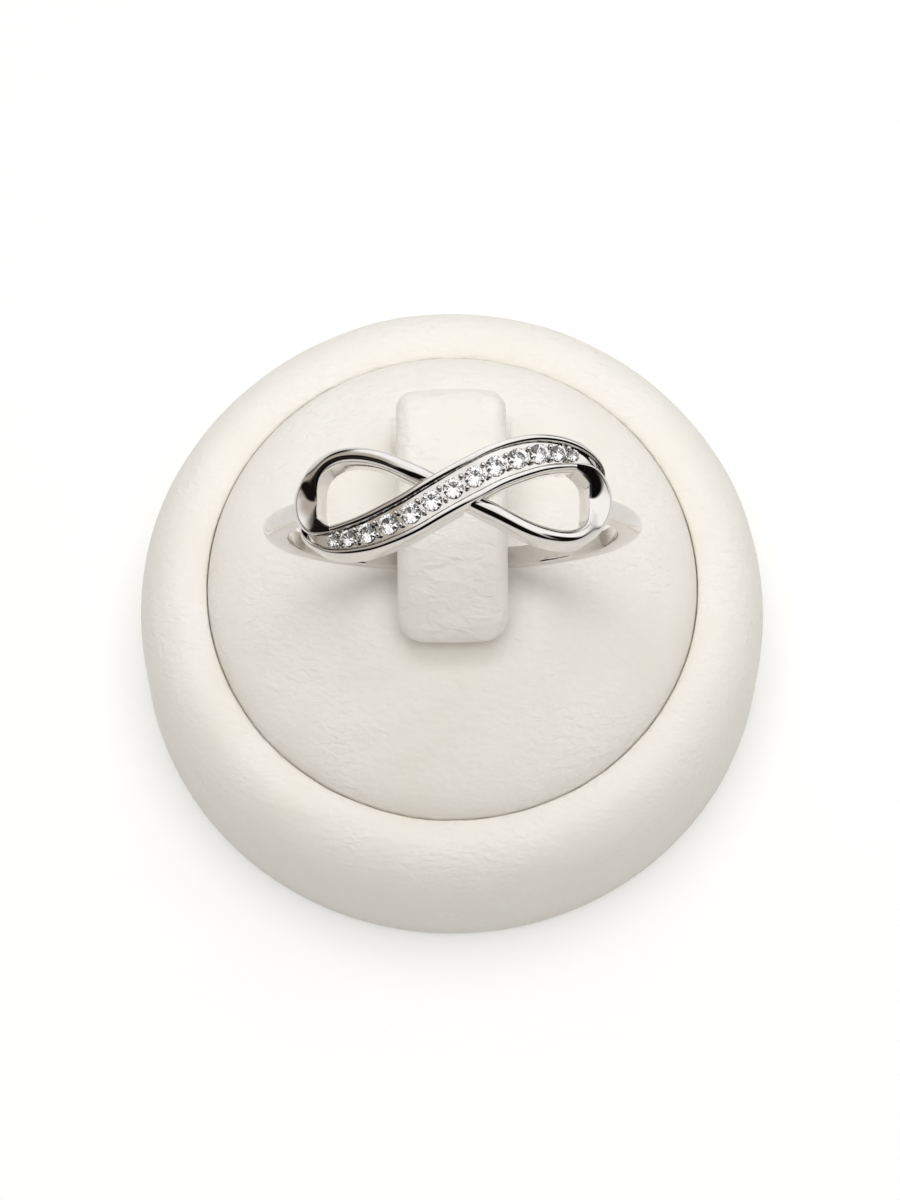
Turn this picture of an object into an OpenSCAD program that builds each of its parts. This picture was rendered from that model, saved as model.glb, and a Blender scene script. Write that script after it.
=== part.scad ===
// Infinity ring with a row of round stones, standing on a round two-tier display stand.
// Millimetres, +Z up. The origin is the middle of the stand's flat underside, and the ring
// faces the front of the stand, which is -Y.

/* [Ring] */
// Inside diameter of the ring
finger_d = 17.7; // [16:0.1:20]
// Width of the shank along the finger
shank_w = 1.1; // [1:0.05:2]
// Thickness of the shank
shank_t = 1.35; // [1.1:0.05:1.8]
// Depth of the shank's domed outer face
shank_dome = 0.65; // [0.3:0.05:0.9]
// Forward lean of the ring on its stand, in degrees
ring_lean = 10; // [6:0.5:12]
// Distance of the ring's foot in front of the middle of the stand
ring_forward = 0.3; // [0:0.05:0.6]

/* [Infinity] */
// Length of the infinity round the finger
infinity_l = 19.3; // [17.5:0.1:20.5]
// Width of the infinity along the finger
infinity_w = 6.15; // [5.6:0.05:7]
// Height of the loops above the finger
loop_h = 2.05; // [1.8:0.05:2.6]
// Extra height of the stone row where it crosses over
cross_rise = 0.55; // [0.3:0.05:0.8]
// Width of the plain polished strand
strand_w = 0.87; // [0.7:0.01:1]
// Width of each rail beside the stones
rail_w = 0.42; // [0.3:0.01:0.5]
// Width of the stone channel at the crossing
channel_w = 1.45; // [1.3:0.01:1.6]
// Depth of the stone channel below its rails
channel_depth = 0.32; // [0.2:0.01:0.5]
// How far the inner side of the stone channel stays above the finger
inner_lift = 0.8; // [0.4:0.05:1.1]

/* [Stones] */
// Diameter of the middle stones
stone_d = 1.1; // [0.9:0.01:1.2]
// Space between neighbouring stones
stone_space = 0.19; // [0.14:0.01:0.25]
// Gap between a stone and its seat
stone_seat_gap = 0.03; // [0.02:0.01:0.05]
// Diameter of the bead prongs
bead_d = 0.3; // [0.2:0.01:0.34]

/* [Stand] */
// Diameter of the lower tier at its widest
base_d = 35.6; // [33:0.1:40]
// Diameter of the lower tier where it meets the table
base_foot_d = 35.5; // [32:0.1:39]
// Height of the lower tier
base_h = 9.9; // [8:0.1:13]
// Height at which the lower tier is widest
base_bulge_z = 5.4; // [4:0.1:7]
// Diameter of the dome at the crease
dome_d = 27.6; // [25:0.1:29]
// Height of the dome above the crease
dome_h = 4.5; // [3.5:0.1:6]
// Depth of the crease round the dome below the rim
crease_depth = 0.55; // [0.3:0.05:0.8]
// Depth of the well that the dome sits in
well_depth = 2.5; // [2:0.1:4]

/* [Tongue] */
// Width of the padded tongue
tongue_w = 6.1; // [5:0.1:7]
// Thickness of the padded tongue
tongue_t = 2; // [1.6:0.1:2.4]
// Crown of the tongue's upper face
tongue_crown = 0.25; // [0:0.05:0.4]
// Distance of the tongue's front end from the middle of the stand
tongue_front = 4.8; // [4.4:0.1:5.2]
// Distance of the tongue's fold behind the middle of the stand
tongue_back = 8.6; // [8.2:0.1:9]
// Outer radius of the fold
tongue_fold = 2.2; // [2.1:0.05:2.6]
// Length over which the front end is rounded
tongue_nose = 1; // [0.5:0.1:1.4]
// Rounding of the tongue's padded edges
tongue_round = 0.6; // [0.3:0.05:0.8]
// Depth of the socket that holds the back leg, below the top of the dome
socket_depth = 2; // [1.5:0.1:2.4]
// Gap between pieces that lie against each other
rest_gap = 0.08; // [0.05:0.01:0.12]

/* [Hidden] */
// Sizes of the stones from the middle one outwards, as shares of the middle stone
stone_shares = [1, 1, 1, 1, 0.97, 0.8, 0.6];
side_stones = len(stone_shares) - 1;
stone_count = 2 * side_stones + 1;

$fn = 64;

metal_colour = "#D9D8DA";
stone_colour = "#F4F8FC";
leather_colour = "#EFEBE0";

finger_r = finger_d / 2;
shank_r = finger_r + shank_t;
loop_r = finger_r + loop_h;
crease_z = base_h - crease_depth;
dome_top = crease_z + dome_h;
ring_z = dome_top + rest_gap + shank_r * cos(ring_lean) + shank_w / 2 * sin(ring_lean);
ring_y = -ring_forward - shank_r * sin(ring_lean);

// The tongue lies over the foot of the ring. Place and height of the front edge of the shank's
// inner face, under the sides of the tongue.
under_r = sqrt(finger_r * finger_r - pow((tongue_w - tongue_round) / 2, 2));
under_y = ring_y + under_r * sin(ring_lean) - shank_w / 2 * cos(ring_lean);
under_z = ring_z - under_r * cos(ring_lean) - shank_w / 2 * sin(ring_lean);

// Distance of the rim's crest from the well, and the rounding of the foot
rim_inset = 1.3;
foot_round = 0.5;
// Largest angle between two points of an arc
arc_step = 10;
// Shape of the dome: 2 is an ellipse, more is fuller at the edge
dome_power = 2.3;
dome_steps = 14;
// Moves the points of the dome's outline towards its edge, where it bends most
dome_crowding = 0.87;

// The tongue comes down to its front end along a curve of this power.
tongue_power = 3;
// Vertical half-thickness of the sloping tongue over the shank, as a share of the level one
slope_share = 1.1;
// How much smaller the tongue's section is at its very front end, as a share
nose_tuck = 0.3;
// Steps of the tongue's front end, its upper run, its fold, and its section's corners and crown
nose_steps = 3;
run_steps = 14;
fold_steps = 8;
corner_steps = 2;
crown_steps = 4;

// How much further round the finger the feet of the walls stand than their top edges
wall_spread = 0.18;
// Steps of a smooth curve between two rows of a table
curve_steps = 3;
shank_sides = 72;
// Rounding of the shank's inner edges
shank_edge = 0.15;
// Steps of the list of lengths between two rows of the channel's table
length_steps = 8;
// Places before and after a point of the channel that give its direction there
side_step = 0.05;
bead_sides = 8;
seat_sides = 12;
facet_count = 8;
// Width of a seat's point and of the hole below it, as shares of the seat
seat_point = 0.25;
seat_hole = 0.45;
// A stone's proportions as shares of its diameter
table_share = 0.56;
crown_share = 0.15;
pavilion_share = 0.4;
girdle_share = 0.05;
// Height of a stone's girdle above the channel floor, as a share of the channel's depth
girdle_lift = 0.3;

// Plain strand from under the crossing round the end of the right-hand loop. Columns: along
// and across as shares of half the infinity, width as a share of the strand, drop as a share
// of the rise at the crossing.
ALONG = 0;
ACROSS = 1;
WIDTH = 2;
RISE = 3;
loop_rows = [
    [0,     0,      1,    -0.5],
    [0.218, -0.344, 1,    0],
    [0.457, -0.656, 0.98, 0],
    [0.676, -0.714, 0.98, 0],
    [0.834, -0.489, 1.22, 0],
    [0.903, -0.006, 2,    0],
    [0.85,  0.38,   1.34, 0]
];

// Middle line of the stone channel from the crossing to its end in the right-hand loop.
// Columns: along and across as shares of half the infinity, width as a share of the channel,
// rise as a share of the rise at the crossing.
channel_rows = [
    [0,     0,     1,    1],
    [0.117, 0.201, 1,    0.92],
    [0.237, 0.403, 1,    0.72],
    [0.36,  0.556, 0.97, 0.48],
    [0.486, 0.669, 0.87, 0.26],
    [0.615, 0.718, 0.7,  0.1],
    [0.729, 0.708, 0.5,  0],
    [0.83,  0.63,  0.34, 0],
    [0.9,   0.5,   0.2,  0],
    [0.926, 0.31,  0.1,  -0.5]
];
channel_end = len(channel_rows) - 1;

// The outer rail narrows to this share of its width over the last rows of the channel
tip_share = 0.35;
tip_rows = 3;

// The shank begins inside the end wall of the loop, which is this row of the loop's table.
loop_end = 5;
shank_start = finger_angle(loop_rows[loop_end][ALONG] * infinity_l / 2, finger_r + shank_t / 2);

// The inner rail takes over from the plain strand between these two rows of the channel. The
// strand ends inside it, narrowed to this share and lower by this height.
join_rows = [6, 5];
join_width = 0.84;
join_drop = 0.04;

// How far the feet of the channel's walls are raised above the finger on the outer side, and
// the floor's foot above those of the rails, as shares of the inner side's lift
outer_lift = 0.07;
floor_lift = 0.12;

// Outlines of the walls' cross-sections. Columns: place sideways as a share of the wall's
// width, drop of the top edge as a share of the size that it follows, and whether the point
// is a foot, which stands on or above the finger.
SIDE = 0;
DROP = 1;
FOOT = 2;
domed_outline = [
    [-0.5,  0,    true],
    [-0.5,  0.41, false],
    [-0.36, 0.14, false],
    [0,     0,    false],
    [0.36,  0.14, false],
    [0.5,   0.41, false],
    [0.5,   0,    true]
];
rail_outline = [
    [-0.5, 0,    true],
    [-0.5, 0.38, false],
    [-0.3, 0,    false],
    [0.3,  0,    false],
    [0.5,  0.38, false],
    [0.5,  0,    true]
];
floor_outline = [
    [-0.6, 0, true],
    [-0.6, 1, false],
    [0.6,  1, false],
    [0.6,  0, true]
];

// Zero-padded name of stone number i, counted from the left
function stone_name(i) = str("stone_", i < 10 ? "0" : "", i);

// Row i of a table, mirrored through the first row for negative i
function row(rows, i) =
    i < 0 ? [-rows[-i][ALONG], -rows[-i][ACROSS], rows[-i][WIDTH], rows[-i][RISE]] : rows[i];

// Smooth value at place t of a table: a cubic through its rows
function smooth(rows, t) =
    let (last = len(rows) - 1,
         i = min(floor(t), last - 1),
         u = t - i,
         b = row(rows, i),
         c = row(rows, i + 1),
         a = i > -last ? row(rows, i - 1) : 2 * b - c,
         d = i + 2 <= last ? row(rows, i + 2) : 2 * c - b)
    b + 0.5 * u * (c - a + u * (2 * a - 5 * b + 4 * c - d + u * (3 * (b - c) + d - a)));

function unit(v) = v / norm(v);

// Real sizes of a table's value: place along and across, width and rise
function sized(v, width) =
    [v[ALONG] * infinity_l / 2, v[ACROSS] * infinity_w / 2, v[WIDTH] * width, v[RISE] * cross_rise];

function channel_at(t) = sized(smooth(channel_rows, t), channel_w);

// Sideways direction of the channel at place t
function channel_side(t) =
    let (step = channel_at(min(t + side_step, channel_end)) - channel_at(max(t - side_step, -channel_end)))
    unit([-step[ACROSS], step[ALONG]]);

// Middle of the rail beside the channel: side is 1 for the outer rail of the right-hand loop
function rail_at(t, side) =
    let (c = channel_at(t),
         w = rail_w * min(1, tip_share + (1 - tip_share) * (channel_end - t) / tip_rows),
         shift = side * (c[WIDTH] + w) / 2 * channel_side(t))
    [c[ALONG] + shift[0], c[ACROSS] + shift[1], w, c[RISE]];

// Row of the plain strand's end inside the inner rail
function join_at(t) =
    let (p = rail_at(t, -1))
    [p[ALONG], p[ACROSS], join_width * p[WIDTH], p[RISE] - join_drop];

function strand_rows() =
    concat([for (r = loop_rows) sized(r, strand_w)], [for (t = join_rows) join_at(t)]);

// Angle from the top of the ring at a length round the finger and a distance from its middle
function finger_angle(along, r) =
    along / loop_r * 180 / PI * (1 + wall_spread * (loop_r - r) / loop_h);

// Point at a length round the finger, a place along it and a distance from its middle
function on_finger(along, across, r) =
    let (a = finger_angle(along, r))
    [r * sin(a), across, r * cos(a)];

// Cross-section of a wall that stands on the finger, from a table of its outline. Lift holds
// the shares of the inner side's lift by which the feet on its two sides are raised.
function wall_section(p, side, outline, edge, lift) =
    [for (o = outline)
        let (q = [p[ALONG], p[ACROSS]] + o[SIDE] * p[WIDTH] * side,
             foot = finger_r + lift[o[SIDE] < 0 ? 0 : 1] * inner_lift)
        on_finger(q[0], q[1], o[FOOT] ? foot : loop_r + p[RISE] - o[DROP] * edge)];

// Cross-sections of a wall along a list of values, with a list of lifts
function wall_sections(values, outline, edge, lifts) =
    let (last = len(values) - 1)
    [for (i = [0:last])
        let (step = values[min(i + 1, last)] - values[max(i - 1, 0)])
        wall_section(values[i], unit([-step[ACROSS], step[ALONG]]), outline, edge, lifts[i])];

// Places of a table from one row to another, in the steps of a smooth curve
function places(from, to) = [for (k = [from * curve_steps:to * curve_steps]) k / curve_steps];

// Lift of a channel wall's feet on its left side at place t: past the crossing, that side
// faces the inside of the loop
function left_lift(t) = t > 0 ? 1 : outer_lift;

// Solid through a list of cross-sections
module chain(sections) {
    for (i = [0:len(sections) - 2]) {
        points = concat(sections[i], sections[i + 1]);
        hull()
            polyhedron(points, [[for (k = [0:len(points) - 1]) k]]);
    }
}

// Places along the channel of lengths measured from the crossing
channel_lengths =
    let (n = channel_end * length_steps)
    [for (k = 0, l = 0, p = channel_at(0); k <= n;
          k = k + 1,
          q = channel_at(min(k, n) / length_steps),
          l = l + norm([q[ALONG] - p[ALONG], q[ACROSS] - p[ACROSS]]),
          p = q)
        [l, k / length_steps]];

function stone_size(i) = stone_d * stone_shares[abs(i)];

// Length from the crossing to stone i, counted from the middle one
function stone_reach(i) =
    i == 0 ? 0 : stone_reach(i - 1) + (stone_size(i - 1) + stone_size(i)) / 2 + stone_space;

function stone_place(i) = sign(i) * lookup(stone_reach(abs(i)), channel_lengths);

// Puts its children on the channel at place t, sideways by shift, at height h above the floor
module on_channel(t, shift, h) {
    c = channel_at(t);
    side = channel_side(t);
    along = c[ALONG] + shift * side[0];
    across = c[ACROSS] + shift * side[1];
    r = loop_r + c[RISE] - channel_depth + h;
    translate(on_finger(along, across, r))
        rotate([0, along / loop_r * 180 / PI, 0])
            children();
}

// Puts its children from the ring's own frame onto the stand
module on_stand() {
    translate([0, ring_y, ring_z])
        rotate([ring_lean, 0, 0])
            children();
}

// Cross-section of the shank: flat with small edges inside, domed outside
module shank_section() {
    hull() {
        translate([finger_r + shank_edge, 0])
            offset(r = shank_edge, $fn = 12)
                square([shank_edge, shank_w - 2 * shank_edge], center = true);
        translate([finger_r + shank_t - shank_dome, 0])
            resize([2 * shank_dome, shank_w])
                circle(d = shank_w, $fn = 20);
    }
}

module shank() {
    rotate([90, 0, 0])
        rotate([0, 0, 90 + shank_start])
            rotate_extrude(angle = 360 - 2 * shank_start, $fn = shank_sides)
                shank_section();
}

// The plain strand of both loops, which passes under the crossing
module plain_strand() {
    rows = strand_rows();
    ts = places(1 - len(rows), len(rows) - 1);
    chain(wall_sections([for (t = ts) smooth(rows, t)], domed_outline, strand_w,
                        [for (t = ts) [0, 0]]));
}

// Rail outside the stones of the right-hand loop and inside those of the left-hand one
module long_rail() {
    ts = places(-join_rows[0], channel_end);
    chain(wall_sections([for (t = ts) rail_at(t, 1)], rail_outline, rail_w,
                        [for (t = ts) [left_lift(-t), left_lift(-t)]]));
}

module channel_floor() {
    ts = places(-channel_end, channel_end);
    chain(wall_sections([for (t = ts) channel_at(t)], floor_outline, channel_depth,
                        [for (t = ts) [left_lift(t) + floor_lift, left_lift(-t) + floor_lift]]));
}

// Drilled seat under a stone, open to the finger
module seat(d) {
    wide = d + 2 * stone_seat_gap;
    depth = pavilion_share * d + stone_seat_gap;
    translate([0, 0, -depth])
        cylinder(h = depth, d1 = seat_point * wide, d2 = wide, $fn = seat_sides);
    cylinder(h = channel_depth, d = wide, $fn = seat_sides);
    translate([0, 0, -loop_h - cross_rise])
        cylinder(h = loop_h + cross_rise, d = seat_hole * wide, $fn = seat_sides);
}

// A pair of bead prongs beside each space between two stones, rooted below the floor
module beads() {
    top = channel_depth - bead_d / 2;
    for (i = [-side_stones:side_stones - 1]) {
        t = (stone_place(i) + stone_place(i + 1)) / 2;
        d = (stone_size(i) + stone_size(i + 1)) / 2;
        pitch = (d + stone_space) / 2;
        touch = d / 2 + stone_seat_gap + bead_d / 2;
        reach = min(sqrt(touch * touch - pitch * pitch), channel_at(t)[WIDTH] / 2);
        for (side = [-1, 1]) {
            on_channel(t, side * reach, -bead_d)
                cylinder(h = top + bead_d, d = bead_d, $fn = bead_sides);
            on_channel(t, side * reach, top)
                sphere(d = bead_d, $fn = bead_sides);
        }
    }
}

module ring_metal() {
    color(metal_colour)
        on_stand()
            difference() {
                union() {
                    shank();
                    plain_strand();
                    long_rail();
                    rotate([0, 0, 180])
                        long_rail();
                    channel_floor();
                    beads();
                }
                for (i = [-side_stones:side_stones])
                    on_channel(stone_place(i), 0, girdle_lift * channel_depth)
                        seat(stone_size(i));
            }
}

// Round stone with a table, a facetted crown, a girdle and a facetted point
module cut_stone(d) {
    girdle = girdle_share * d;
    cylinder(h = girdle, d = d, $fn = facet_count);
    translate([0, 0, girdle])
        cylinder(h = crown_share * d, d1 = d, d2 = table_share * d, $fn = facet_count);
    translate([0, 0, -pavilion_share * d])
        cylinder(h = pavilion_share * d, d1 = 0, d2 = d, $fn = facet_count);
}

module stone(i) {
    color(stone_colour)
        on_stand()
            on_channel(stone_place(i), 0, girdle_lift * channel_depth)
                cut_stone(stone_size(i));
}

// Points of an elliptic arc
function arc(centre, rx, rz, from, to) =
    let (steps = ceil((to - from) / arc_step))
    [for (k = [0:steps])
        let (a = from + (to - from) * k / steps)
        centre + [rx * cos(a), rz * sin(a)]];

module stand_base() {
    well_r = dome_d / 2 + rest_gap;
    crest_r = well_r + rim_inset;
    well_z = base_h - well_depth;
    color(leather_colour)
        rotate_extrude($fn = 96)
            polygon(concat(
                [[0, 0]],
                arc([base_foot_d / 2 - foot_round, foot_round], foot_round, foot_round, -90, 0),
                arc([crest_r, base_bulge_z], base_d / 2 - crest_r, base_h - base_bulge_z, 0, 90),
                arc([crest_r, crease_z], rim_inset, crease_depth, 90 + arc_step, 180),
                [[well_r, well_z], [0, well_z]]));
}

// Height of the dome's skin at a distance from its middle
function dome_z(r) =
    crease_z + dome_h * pow(max(0, 1 - pow(2 * r / dome_d, dome_power)), 1 / dome_power);

module stand_dome() {
    dome_r = dome_d / 2;
    floor_z = base_h - well_depth + rest_gap;
    socket_y = tongue_back - tongue_t - rest_gap;
    color(leather_colour)
        difference() {
            rotate_extrude($fn = 96)
                polygon(concat(
                    [[0, floor_z], [dome_r, floor_z]],
                    [for (k = [0:dome_steps])
                        let (r = dome_r * pow(cos(90 * k / dome_steps), dome_crowding))
                        [r, dome_z(r)]]));
            translate([-tongue_w / 2 - rest_gap, socket_y, dome_top - socket_depth])
                cube([tongue_w + 2 * rest_gap, tongue_t + tongue_crown + 2 * rest_gap, dome_h]);
        }
}

// Middle line of the tongue from its front end over the ring's foot and the fold to the socket.
// Each row holds depth, height, the direction along the strip and the size of the section there.
function tongue_path() =
    let (front = -tongue_front,
         fold_y = tongue_back - tongue_fold,
         reach = fold_y - front,
         low = dome_z(tongue_front - tongue_t / 2) + rest_gap + tongue_t / 2 * (1 - nose_tuck),
         over = under_z + rest_gap + slope_share * tongue_t / 2,
         drop = (over - low) / (1 - pow((fold_y - under_y) / reach, tongue_power)),
         top = low + drop,
         r = tongue_fold - tongue_t / 2)
    concat(
        [for (k = [0:nose_steps + run_steps - 1])
            let (y = k <= nose_steps
                    ? front + tongue_nose * (1 - cos(90 * k / nose_steps))
                    : front + tongue_nose + (reach - tongue_nose) * (k - nose_steps) / run_steps,
                 u = (fold_y - y) / reach)
            [y, top - drop * pow(u, tongue_power),
             atan(drop * tongue_power / reach * pow(u, tongue_power - 1)),
             k < nose_steps ? 1 - nose_tuck * (1 - sin(90 * k / nose_steps)) : 1]],
        [for (k = [0:fold_steps])
            let (a = 90 - 90 * k / fold_steps)
            [fold_y + r * cos(a), top - r + r * sin(a), a - 90, 1]],
        [[fold_y + r, dome_top - socket_depth + rest_gap, -90, 1]]);

// Outline of the tongue's padded section: a rectangle with round corners and a crowned top
function tongue_outline() =
    let (x = tongue_w / 2 - tongue_round,
         y = tongue_t / 2 - tongue_round)
    concat(
        tongue_corner(x, y, 0),
        [for (k = [1:crown_steps - 1])
            let (u = 1 - 2 * k / crown_steps)
            [x * u, tongue_t / 2 + tongue_crown * (1 - u * u)]],
        tongue_corner(-x, y, 90),
        tongue_corner(-x, -y, 180),
        tongue_corner(x, -y, 270));

function tongue_corner(x, y, start) =
    [for (k = [0:corner_steps])
        let (a = start + 90 * k / corner_steps)
        [x + tongue_round * cos(a), y + tongue_round * sin(a)]];

// Closed solid through a list of sections with equal numbers of points
module skin(sections) {
    n = len(sections[0]);
    last = len(sections) - 1;
    polyhedron(
        [for (s = sections) each s],
        concat(
            [[for (k = [0:n - 1]) k]],
            [for (i = [0:last - 1], k = [0:n - 1])
                [i * n + k, (i + 1) * n + k, (i + 1) * n + (k + 1) % n, i * n + (k + 1) % n]],
            [[for (k = [n - 1:-1:0]) last * n + k]]));
}

// The sections are turned left to right, so that the faces of the skin look outwards.
module stand_tongue() {
    color(leather_colour)
        skin([for (p = tongue_path())
            [for (o = tongue_outline())
                [-o[0] * p[3],
                 p[0] - o[1] * p[3] * sin(p[2]),
                 p[1] + o[1] * p[3] * cos(p[2])]]]);
}

ring_metal();
stand_base();
stand_dome();
stand_tongue();
for (i = [1:stone_count])
    stone(i - side_stones - 1);
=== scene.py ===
# Infinity ring with a row of round stones, standing on a round two-tier display stand.
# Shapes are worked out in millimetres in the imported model's frame, Z up and the front at -Y,
# and put into meshes in metres. In the ring's own frame the finger lies along Y, and Z passes
# through the crossing of the infinity.
import time

import bmesh
import bpy
import numpy as np
from mathutils import Matrix, Vector


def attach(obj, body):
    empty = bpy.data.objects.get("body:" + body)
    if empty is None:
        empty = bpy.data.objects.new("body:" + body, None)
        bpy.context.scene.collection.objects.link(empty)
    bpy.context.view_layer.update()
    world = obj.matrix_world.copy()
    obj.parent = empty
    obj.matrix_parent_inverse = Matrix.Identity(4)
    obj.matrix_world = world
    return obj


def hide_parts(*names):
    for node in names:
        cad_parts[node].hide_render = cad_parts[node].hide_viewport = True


startTime = time.time()
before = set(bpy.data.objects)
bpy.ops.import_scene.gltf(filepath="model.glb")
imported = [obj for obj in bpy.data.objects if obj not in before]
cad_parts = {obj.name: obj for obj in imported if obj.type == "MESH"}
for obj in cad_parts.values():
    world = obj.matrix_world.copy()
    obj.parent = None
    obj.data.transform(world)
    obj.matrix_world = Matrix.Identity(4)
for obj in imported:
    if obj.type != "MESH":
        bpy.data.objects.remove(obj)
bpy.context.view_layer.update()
millimetre = 0.001


def report(stage):
    print(f"{stage}: {time.time() - startTime:.1f} s")


report("packed model loaded")

# Camera: the photograph's view, from 70 degrees up and 300 mm away, turned a little about the
# stand's axis.
cameraSet = {
    "elevation": 70.0,
    "distance": 300.0,
    "lookX": -0.13,
    "lookY": -2.86,
    "lookZ": 15.0,
    "turn": -0.6,
    "lens": 162.6,
    "sensor": 36.0,
    "clipEnd": 5.0,
}


# Places the camera back from the look point along its line of sight, then turns it about Z.
def makeCamera(s):
    data = bpy.data.cameras.new("camera")
    data.sensor_width = s["sensor"]
    data.lens = s["lens"]
    data.clip_end = s["clipEnd"]
    camera = bpy.data.objects.new("camera", data)
    up = np.radians(s["elevation"])
    back = s["distance"] * np.cos(up)
    place = (s["lookX"], s["lookY"] - back, s["lookZ"] + s["distance"] * np.sin(up))
    camera.matrix_world = (
        Matrix.Rotation(np.radians(s["turn"]), 4, "Z")
        @ Matrix.Translation([p * millimetre for p in place])
        @ Matrix.Rotation(np.pi / 2 - up, 4, "X")
    )
    bpy.context.scene.collection.objects.link(camera)
    bpy.context.scene.camera = camera


makeCamera(cameraSet)


# sRGB hex to linear: a power of 2.4 above the short straight toe.
def linear(hexColour):
    c = np.array([int(hexColour[i : i + 2], 16) for i in (1, 3, 5)]) / 255
    c = np.where(c <= 0.04045, c / 12.92, ((c + 0.055) / 1.055) ** 2.4)
    return (*c.tolist(), 1.0)


# Adds a node with its settings; each link sets a socket to a value or joins it to an output. A
# socket goes by its name, or as n0, n1 and so on by its number.
def addNode(tree, kind, settings=None, **links):
    node = tree.nodes.new(kind)
    for key, value in (settings or {}).items():
        setattr(node, key, value)
    for key, value in links.items():
        numbered = key[0] == "n" and key[1:].isdigit()
        socket = node.inputs[int(key[1:]) if numbered else key.replace("_", " ")]
        if isinstance(value, bpy.types.NodeSocket):
            tree.links.new(value, socket)
        else:
            socket.default_value = value
    return node


# New material with an empty node tree.
def startMaterial(name):
    material = bpy.data.materials.new(name)
    material.use_nodes = True
    tree = material.node_tree
    tree.nodes.clear()
    return material, tree


# Colour ramp from a list of (place, hex).
def ramp(tree, factor, stops):
    node = addNode(tree, "ShaderNodeValToRGB", n0=factor)
    elements = node.color_ramp.elements
    while len(elements) < len(stops):
        elements.new(0.5)
    for element, (place, colour) in zip(elements, stops):
        element.position = place
        element.color = linear(colour)
    return node.outputs["Color"]


# Maps a value's range onto another range, with a straight or a soft course.
def mapRange(tree, value, source, target=(0.0, 1.0), soft=False):
    course = {"interpolation_type": "SMOOTHSTEP" if soft else "LINEAR"}
    node = addNode(
        tree, "ShaderNodeMapRange", course, n0=value, n1=source[0], n2=source[1], n3=target[0], n4=target[1]
    )
    return node.outputs["Result"]


# Rhodium-plated silver, cast and polished on a felt wheel: a bright neutral white with a trace
# of warmth, mirror smooth, with the faint waviness of hand polishing and a light haze.
rhodiumSet = {
    "colour": "#E9E6E3",
    "hazeColour": "#DEDAD5",
    "roughness": (0.03, 0.08),
    "hazeSize": 1.4,
    "hazeRange": (0.3, 0.75),
    "tintRange": (0.35, 0.8),
    "waveSize": 1.1,
    "waveDepth": 0.012,
}


# Noise sets the haze and its colour; a slower noise gives the waviness as a bump.
def makeRhodium(s):
    material, tree = startMaterial("polished_rhodium_plated_silver")
    place = addNode(tree, "ShaderNodeTexCoord").outputs["Object"]
    haze = addNode(
        tree, "ShaderNodeTexNoise", Vector=place, Scale=1 / (s["hazeSize"] * millimetre), Detail=4.0
    ).outputs["Fac"]
    wave = addNode(
        tree, "ShaderNodeTexNoise", Vector=place, Scale=1 / (s["waveSize"] * millimetre), Detail=1.0
    ).outputs["Fac"]
    rough = mapRange(tree, haze, s["hazeRange"], s["roughness"])
    colour = ramp(tree, haze, list(zip(s["tintRange"], (s["colour"], s["hazeColour"]))))
    bump = addNode(
        tree, "ShaderNodeBump", Strength=1.0, Distance=s["waveDepth"] * millimetre, Height=wave
    ).outputs["Normal"]
    shader = addNode(
        tree,
        "ShaderNodeBsdfPrincipled",
        Base_Color=colour,
        Metallic=1.0,
        Roughness=rough,
        Normal=bump,
    )
    addNode(tree, "ShaderNodeOutputMaterial", Surface=shader.outputs["BSDF"])
    return material


# Cubic zirconia, cut and polished: colourless, very high index, with crisp flat facets.
zirconiaSet = {"colour": "#FFFFFF", "ior": 2.16, "roughness": 0.0}


# Clear refracting body; the facets come from the mesh.
def makeZirconia(s):
    material, tree = startMaterial("brilliant_cut_cubic_zirconia")
    shader = addNode(
        tree,
        "ShaderNodeBsdfPrincipled",
        Base_Color=linear(s["colour"]),
        Roughness=s["roughness"],
        IOR=s["ior"],
        Transmission_Weight=1.0,
    )
    addNode(tree, "ShaderNodeOutputMaterial", Surface=shader.outputs["BSDF"])
    return material


# Polyurethane leatherette, embossed with a fine grain and stretched over a pad: a warm cream
# with a soft low sheen. The grain is low pebbles about half a millimetre across, and shallow
# stretch wrinkles cross it in patches. The tongue's skin has a coarser and deeper grain.
leatheretteSet = {
    "light": "#F9F7F2",
    "dark": "#F5F2EA",
    "pebble": 0.55,
    "pebbleDepth": 0.03,
    "wrinkle": 0.5,
    "wrinkleDepth": 0.12,
    "patch": 5.0,
    "patchRange": (0.3, 0.7),
    "creasedRange": (0.35, 0.65),
    "creasedShare": (0.25, 1.0),
    "stretch": (0.75, 1.3, 1.3),
    "roughness": (0.5, 0.66),
    "sheen": 0.12,
    "sheenRoughness": 0.4,
    "specular": 0.3,
}


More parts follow.
